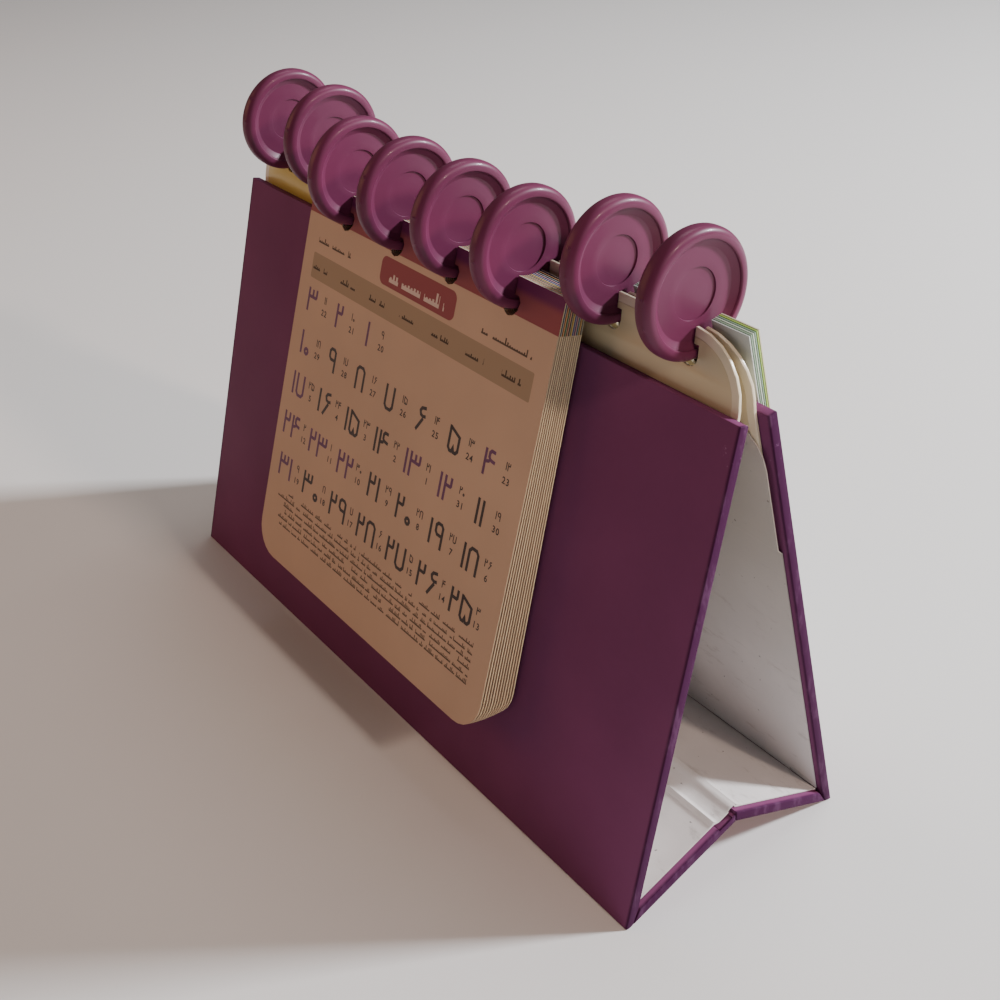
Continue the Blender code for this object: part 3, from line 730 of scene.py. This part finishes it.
def date_leaf_finish(number, place, settings):
    """Printed card of one date leaf: header band with painted shade over its upper part, title plate, weekday band
    and lines of fine print.
    """
    paper = tuple(settings.paper)
    header = header_hues[number] or tuple(settings.header)
    finish = Finish("date_leaf_%02d_card" % (number + 1), paper, 0.6, Specular_IOR_Level=0.15)
    printed = on_leaf(finish, place)
    across, up, out = finish.axes(printed)
    clouds = finish.noise(28.0, 3.0, 0.5)
    fibres = finish.noise(2200.0, 3.0, 0.6)
    body = finish.mix(finish.step(clouds, 0.3, 0.7), tint(paper, 0.95), tint(paper, 1.04))
    body = finish.over(body, tint(paper, 1.25), fibres, 0.10)
    front = finish.math("GREATER_THAN", out, -0.12 * MM)
    band = rounded_plate(
        finish, across, up, settings.band_place, settings.band_width, settings.band_height, 0.5 * MM
    )
    body = finish.over(body, tuple(settings.weekday_band), band, 0.62)
    top = finish.math("GREATER_THAN", up, -settings.header_low)
    plate = rounded_plate(
        finish, across, up, settings.title_place, settings.title_width, settings.title_height, 2.2 * MM
    )
    worn_and_shaded_header = finish.mix(finish.times(clouds, 0.3), header, tint(header, 1.5))
    # Painted shade: the header's upper part is painted darker and more purple, fading out lower down.
    painted_shade_hue = (header[0] * 0.58, header[1] * 0.38, header[2] * 1.15)
    worn_and_shaded_header = finish.mix(finish.step(up, *PAINTED_HEADER_SHADE_FADE), worn_and_shaded_header, painted_shade_hue)
    body = finish.mix(top, body, worn_and_shaded_header)
    body = finish.mix(plate, body, tint(header, 1.1))
    half = settings.notes_width / 2
    # left, right, middle below the axis, rows, row pitch, body, stroke pitch, raggedness
    prints = [
        (-half, half, settings.notes_place, 6, settings.notes_pitch, 0.74, 0.56 * MM, 5.0 * MM),
        (-50.5 * MM, -33.0 * MM, 23.9 * MM, 1, 2.6 * MM, 0.8, 0.85 * MM, 0.0),
        (29.5 * MM, 50.0 * MM, 24.6 * MM, 1, 2.6 * MM, 0.8, 0.95 * MM, 0.0),
    ]
    for column in range(WEEK):
        middle = settings.right_column - column * settings.column_pitch
        left, right = middle - 3.4 * MM, middle + 4.4 * MM
        prints.append((left, right, settings.band_place, 1, 2.6 * MM, 0.85, 0.9 * MM, 0.0))
    for left, right, middle, rows, pitch, tall, cell, ragged in prints:
        ink = strokes(finish, across, up, left, right, middle, rows, pitch, tall, cell, ragged)
        body = finish.over(body, tuple(settings.ink), ink, 0.85)
    title_middle = settings.title_place + 0.3 * MM
    title = strokes(finish, across, up, -13.0 * MM, 13.0 * MM, title_middle, 1, 5.4 * MM, 0.85, 1.45 * MM)
    body = finish.over(body, (0.80, 0.66, 0.56), title, 0.8)
    blank = tint(tuple(settings.cut_edge), 0.82 + 0.3 * ((number * 5) % 7) / 7)
    edge = finish.mix(finish.times(top, 0.55 if number else 0.0), blank, tint(header, 1.3))
    finish.set("Base Color", finish.mix(front, edge, body))
    finish.set("Roughness", finish.span(clouds, 0.46, 0.62))
    waves = finish.bump(finish.noise(30.0, 2.0, 0.4), 0.22 * MM, 0.6)
    finish.set("Normal", finish.bump(fibres, 0.012 * MM, 0.6, under=waves))
    return finish.material


def wear_leaf(piece, place, settings):
    """Pulls the punched holes wide and low, as the rims wear them, and thickens the card behind its print."""
    to_leaf = place.inverted()
    around, hole_radius = 4.0 * MM, 2.8 * MM
    middles = [(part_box(node)[0].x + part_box(node)[1].x) / 2 for node in discs]
    for vertex in piece.data.vertices:
        spot = to_leaf @ vertex.co
        if spot.z < -0.15 * MM:
            spot.z -= settings.thicker
        below = -settings.hole_middle - spot.y
        beside = min((spot.x - middle for middle in middles), key=abs)
        if -0.2 * MM < below < around and abs(beside) < around:
            spot.y -= settings.hole_drop * max(below, 0.0) / hole_radius
            spot.x += settings.hole_side * max(beside, 0.0) / hole_radius
        vertex.co = place @ spot


class CALENDAR_OT_date_leaves(bpy.types.Operator):
    """Gives the twelve date leaves their worn holes and their printed card"""

    bl_idname = "calendar.date_leaves"
    bl_label = "Date Leaves"

    def execute(self, context):
        settings = context.scene.calendar_print
        for number, node in enumerate(date_leaves):
            place = leaf_frame(node, node + "_turn")
            piece = merged_copy(node, node + "_card")
            wear_leaf(piece, place, settings)
            card = date_leaf_finish(number, place, settings)
            dress(piece, body_of_node[node], "date_leaf", card, smooth=20.0, stands_for=(node,))
        return {"FINISHED"}


# For each numeral from 0 to 9, its lines as corners; a numeral is one high and stands on its middle.
numeral_strokes = (
    (((0.25, -0.32), (0.215, -0.235), (0.13, -0.20), (0.045, -0.235), (0.01, -0.32), (0.045, -0.405),
      (0.13, -0.44), (0.215, -0.405), (0.25, -0.32)),),
    (((0.0, 0.5), (0.0, -0.5)),),
    (((0.0, 0.5), (0.0, -0.5)), ((0.06, 0.14), (0.30, 0.14), (0.34, 0.19), (0.34, 0.5))),
    (((0.0, 0.5), (0.0, -0.5)), ((0.06, 0.14), (0.52, 0.14), (0.56, 0.19), (0.56, 0.5)),
     ((0.29, 0.20), (0.29, 0.46))),
    (((0.0, 0.5), (0.0, -0.5)),
     ((0.50, 0.47), (0.28, 0.47), (0.20, 0.38), (0.20, 0.22), (0.28, 0.13), (0.54, 0.10)),
     ((0.06, 0.02), (0.24, 0.08))),
    (((0.0, 0.50), (0.0, -0.34), (0.10, -0.45), (0.22, -0.45), (0.28, -0.30), (0.34, -0.45), (0.46, -0.45),
      (0.56, -0.34), (0.56, 0.20), (0.0, 0.44)),),
    (((0.50, 0.48), (0.24, 0.42), (0.16, 0.30), (0.22, 0.16), (0.36, 0.12), (0.52, 0.16)),
     ((0.38, 0.05), (0.04, -0.5))),
    (((0.0, 0.5), (0.0, -0.32), (0.12, -0.45), (0.38, -0.45), (0.50, -0.32), (0.50, 0.5)),),
    (((0.0, -0.5), (0.0, 0.32), (0.12, 0.45), (0.38, 0.45), (0.50, 0.32), (0.50, -0.5)),),
    (((0.42, -0.5), (0.42, 0.36), (0.32, 0.46), (0.12, 0.46), (0.02, 0.36), (0.02, 0.12), (0.12, 0.02),
      (0.36, 0.02)),),
)


def stroke_shapes(height, thick):
    """The ten eastern numerals drawn with one even stroke, made once, with their widths."""
    shapes = []
    for lines in numeral_strokes:
        bm = bmesh.new()
        for line in lines:
            points = [Vector((x, y, 0.0)) * height for x, y in line]
            closed = line[0] == line[-1]
            before = [points[-2] if closed else points[0]] + points[:-1]
            after = points[1:] + [points[1] if closed else points[-1]]
            sides = []
            for point, last, following in zip(points, before, after):
                come, go = (point - last).normalized(), (following - point).normalized()
                along = (come + go).normalized()
                reach = thick / 2 / max(along.dot(go if go.length else come), 0.4)
                side = Vector((-along.y, along.x, 0.0)) * reach
                sides.append((bm.verts.new(point + side), bm.verts.new(point - side)))
            for (a, b), (c, d) in zip(sides, sides[1:]):
                bm.faces.new((a, b, d, c))
        bmesh.ops.remove_doubles(bm, verts=bm.verts[:], dist=0.002 * MM)
        raised = bmesh.ops.extrude_face_region(bm, geom=bm.faces[:])
        lifted = [item for item in raised["geom"] if isinstance(item, bmesh.types.BMVert)]
        bmesh.ops.translate(bm, verts=lifted, vec=(0.0, 0.0, 0.016 * MM))
        bmesh.ops.recalc_face_normals(bm, faces=bm.faces[:])
        mesh = bpy.data.meshes.new("numeral")
        bm.to_mesh(mesh)
        bm.free()
        shapes.append((mesh, max(x for line in lines for x, y in line) * height + thick))
    return shapes


def digit_shapes(type_size, bold):
    """The ten Latin digits as thin flat shapes, made once, with their widths."""
    shapes = []
    for digit in range(10):
        bpy.ops.object.text_add()
        text = newest("digit")
        text.data.body = str(digit)
        text.data.size = type_size
        text.data.offset = bold
        text.data.extrude = 0.008 * MM
        text.data.resolution_u = 3
        text.data.align_x = "LEFT"
        text.data.align_y = "CENTER"
        bpy.ops.object.convert(target="MESH")
        shape = bpy.context.active_object
        shapes.append((shape.data.copy(), 0.60 * type_size))
        bpy.data.objects.remove(shape, do_unlink=True)
    return shapes


def print_number(bm, value, shapes, gap, middle, finish_index):
    """Adds one number to a mesh in the leaf's own coordinates."""
    digits = [shapes[int(digit)] for digit in str(value)]
    x = middle[0] - (sum(width for shape, width in digits) + gap * (len(digits) - 1)) / 2
    for shape, width in digits:
        first_vertex, first_face = len(bm.verts), len(bm.faces)
        bm.from_mesh(shape)
        bm.verts.ensure_lookup_table()
        bm.faces.ensure_lookup_table()
        bmesh.ops.translate(bm, verts=bm.verts[first_vertex:], vec=(x, middle[1], 0.012 * MM))
        for face in bm.faces[first_face:]:
            face.material_index = finish_index
        x += width + gap


def ink_finish(name, ink):
    """Printing ink, slightly glossy and not quite even."""
    finish = Finish(name, ink, 0.45)
    uneven = finish.noise(1400.0, 2.0, 0.5)
    finish.set("Base Color", finish.mix(uneven, tint(ink, 0.7), tint(ink, 1.8)))
    return finish.material


class CALENDAR_OT_date_numbers(bpy.types.Operator):
    """Prints plain numbers for the days, each with two small numbers beside it"""

    bl_idname = "calendar.date_numbers"
    bl_label = "Date Numbers"

    def execute(self, context):
        settings = context.scene.calendar_print
        ink = ink_finish("date_ink", tuple(settings.ink))
        holiday = ink_finish("holiday_ink", tuple(settings.holiday_ink))
        deselect()
        large = stroke_shapes(settings.date_size, settings.date_stroke)
        small = stroke_shapes(settings.small_size * 0.85, settings.date_stroke * 0.33)
        latin = digit_shapes(settings.small_size, 0.05 * MM)
        gap = settings.date_stroke * 1.2
        start = FIRST_COLUMN
        for number, node in enumerate(date_leaves):
            days = 31 if number < 6 else 30 if number < 11 else 29
            bm = bmesh.new()
            for day in range(1, days + 1):
                column = (start + day - 1) % WEEK
                row = ((start + day - 1) // WEEK) % ROWS
                x = settings.right_column - column * settings.column_pitch
                y = -(settings.first_row + row * settings.row_pitch)
                is_holiday = column == WEEK - 1 or (day + 5 * number) in MARKED_DAYS
                print_number(bm, day, large, gap, (x - 0.6 * MM, y), int(is_holiday))
                beside = x + 6.2 * MM
                # The days of two other ways to count, which run some days ahead.
                print_number(bm, (day + 7 + number) % 30 + 1, small, gap / 3, (beside, y + 2.1 * MM), 0)
                print_number(bm, (day + 18 + number) % 31 + 1, latin, 0.0, (beside, y - 1.9 * MM), 0)
            start = (start + days) % WEEK
            bm.transform(leaf_frame(node, node + "_turn"))
            mesh = bpy.data.meshes.new("date_numbers_%02d" % (number + 1))
            bm.to_mesh(mesh)
            bm.free()
            piece = bpy.data.objects.new(mesh.name, mesh)
            context.scene.collection.objects.link(piece)
            dress(piece, body_of_node[node], "date_leaf", ink, holiday)
        return {"FINISHED"}


# Colours of the six wide leaves, from the one next to the stand to the rearmost.
wide_leaf_hues = (
    (0.50, 0.54, 0.50), (0.26, 0.36, 0.25), (0.55, 0.64, 0.52), (0.23, 0.33, 0.24), (0.36, 0.52, 0.10),
    (0.64, 0.60, 0.44),
)


def wide_leaf_finish(number, place):
    """Ruled card that runs from green at its right end to blue grey in the middle."""
    hue = wide_leaf_hues[number]
    finish = Finish("wide_leaf_%d_card" % (number + 1), hue, 0.5, Coat_Weight=0.15, Coat_Roughness=0.3)
    x = finish.axes()[0]
    grey = (0.36, 0.43, 0.50) if number % 2 else (0.62, 0.64, 0.66)
    along = finish.step(x, 35.0 * MM, 75.0 * MM)
    soft = finish.noise(18.0, 3.0, 0.5, shift=(0.1 * number, 0, 0))
    body = finish.mix(along, grey, hue)
    body = finish.over(body, tint(hue, 1.3), soft, 0.4)
    across, up, _ = finish.axes(on_leaf(finish, place))
    page_width, band_place, rule_pitch = 184.0 * MM, 24.0 * MM, 7.0 * MM
    band = rounded_plate(finish, across, up, band_place, page_width, 8.0 * MM, 2.2 * MM)
    body = finish.over(body, tint(hue, 0.45), band, 0.45)
    ruled = rounded_plate(finish, across, up, 75.0 * MM, page_width, 84.0 * MM, 0.5 * MM)
    rules = finish.math("LESS_THAN", finish.math("FRACT", finish.math("DIVIDE", up, rule_pitch)), 0.05)
    rules = finish.times(finish.times(ruled, rules), 0.5)
    body = finish.mix(rules, body, (0.16, 0.22, 0.21))
    for word in range(4):
        left = (-90.0 + 46.0 * word) * MM
        ink = strokes(finish, across, up, left, left + 24.0 * MM, band_place, 1, 3.0 * MM, 0.85, 1.0 * MM)
        body = finish.over(body, (0.86, 0.88, 0.84), ink, 0.7)
    finish.set("Base Color", body)
    finish.set("Roughness", finish.span(soft, 0.4, 0.6))
    finish.set("Normal", finish.bump(finish.noise(2000.0, 2.0, 0.5), 0.01 * MM, 0.6))
    return finish.material


class CALENDAR_OT_wide_leaves(bpy.types.Operator):
    """Gives the wide leaves behind the stand their card"""

    bl_idname = "calendar.wide_leaves"
    bl_label = "Wide Leaves"

    def execute(self, context):
        for number, node in enumerate(wide_leaves):
            recolour(node, wide_leaf_finish(number, leaf_frame(node, node + "_turn")))
        return {"FINISHED"}


# name, place, width, height, power in watts, colour
studio_lights = (
    ("window_light", (0.66, 1.12, 0.72), 0.16, 0.16, 40.0, (0.93, 0.96, 1.0)),
    ("side_light", (1.13, 0.20, 0.91), 0.11, 0.11, 7.6, (1.0, 0.76, 0.62)),
    ("warm_fill", (-0.85, -0.75, 0.50), 0.8, 0.6, 3.4, (1.0, 0.50, 0.24)),
    ("top_light", (-0.15, 0.55, 1.3), 0.6, 0.6, 5.0, (1.0, 0.97, 0.94)),
)
light_aim = Vector((0.02, 0.035, 0.07))


def add_light(name, place, width, height, power, tone):
    """A soft rectangular light that points at the stand."""
    bpy.ops.object.light_add(type="AREA", location=place)
    light = newest(name)
    light.data.shape = "RECTANGLE"
    light.data.size = width
    light.data.size_y = height
    light.data.energy = power
    light.data.color = tone
    light.rotation_euler = (light_aim - Vector(place)).to_track_quat("-Z", "Y").to_euler()


class CALENDAR_OT_stage(bpy.types.Operator):
    """Adds a plain pale floor, soft studio light and the camera"""

    bl_idname = "calendar.stage"
    bl_label = "Stage"

    def execute(self, context):
        stage = context.scene.calendar_stage
        deselect()
        bpy.ops.mesh.primitive_plane_add(size=6.0, location=(0.0, 0.0, 0.0))
        floor = newest("studio_floor")
        finish = Finish("pale_floor", tuple(stage.floor), 0.85)
        soft = finish.noise(3.0, 2.0, 0.4)
        finish.set("Base Color", finish.mix(soft, tint(tuple(stage.floor), 0.985), tuple(stage.floor)))
        floor.data.materials.append(finish.material)
        world = bpy.data.worlds.new("studio_air")
        world.use_nodes = True
        world.node_tree.nodes["Background"].inputs[0].default_value = (0.96, 0.96, 1.0, 1.0)
        world.node_tree.nodes["Background"].inputs[1].default_value = 0.11
        context.scene.world = world
        for light in studio_lights:
            add_light(*light)
        turn, rise, roll = stage.turn, stage.rise, stage.roll
        forward = Vector((-math.sin(turn) * math.cos(rise), math.cos(turn) * math.cos(rise), -math.sin(rise)))
        level = forward.cross(Vector((0.0, 0.0, 1.0))).normalized()
        upright = level.cross(forward)
        right = level * math.cos(roll) + upright * math.sin(roll)
        up = upright * math.cos(roll) - level * math.sin(roll)
        bpy.ops.object.camera_add()
        camera = newest("studio_camera")
        place = Matrix((right, up, -forward)).transposed().to_4x4()
        middle = Vector((0.0, 0.0, stage.aim_height))
        place.translation = middle + right * stage.aim_right + up * stage.aim_up - forward * stage.distance
        camera.matrix_world = place
        camera.data.sensor_width = 36.0
        camera.data.lens = stage.lens
        camera.data.shift_x = stage.shift_x
        camera.data.shift_y = stage.shift_y
        camera.data.clip_start = 0.01
        context.scene.camera = camera
        return {"FINISHED"}


class CALENDAR_PT_panel(bpy.types.Panel):
    """Lists the steps that dress the calendar"""

    bl_label = "Desk Calendar"
    bl_space_type = "VIEW_3D"
    bl_region_type = "UI"
    bl_category = "Calendar"

    def draw(self, context):
        for step in steps:
            self.layout.operator(step.bl_idname)


steps = (
    CALENDAR_OT_covers,
    CALENDAR_OT_linings,
    CALENDAR_OT_discs,
    CALENDAR_OT_date_leaves,
    CALENDAR_OT_date_numbers,
    CALENDAR_OT_wide_leaves,
    CALENDAR_OT_stage,
)
settings_groups = (
    (CalendarCover, "calendar_cover"),
    (CalendarDiscs, "calendar_discs"),
    (CalendarPrint, "calendar_print"),
    (CalendarStage, "calendar_stage"),
)


def register():
    for group, place in settings_groups:
        bpy.utils.register_class(group)
        setattr(bpy.types.Scene, place, PointerProperty(type=group))
    for step in steps + (CALENDAR_PT_panel,):
        bpy.utils.register_class(step)


def unregister():
    for step in reversed(steps + (CALENDAR_PT_panel,)):
        bpy.utils.unregister_class(step)
    for group, place in reversed(settings_groups):
        delattr(bpy.types.Scene, place)
        bpy.utils.unregister_class(group)


def main():
    register()
    for step in steps:
        family, action = step.bl_idname.split(".")
        getattr(getattr(bpy.ops, family), action)()


if __name__ == "__main__":
    main()
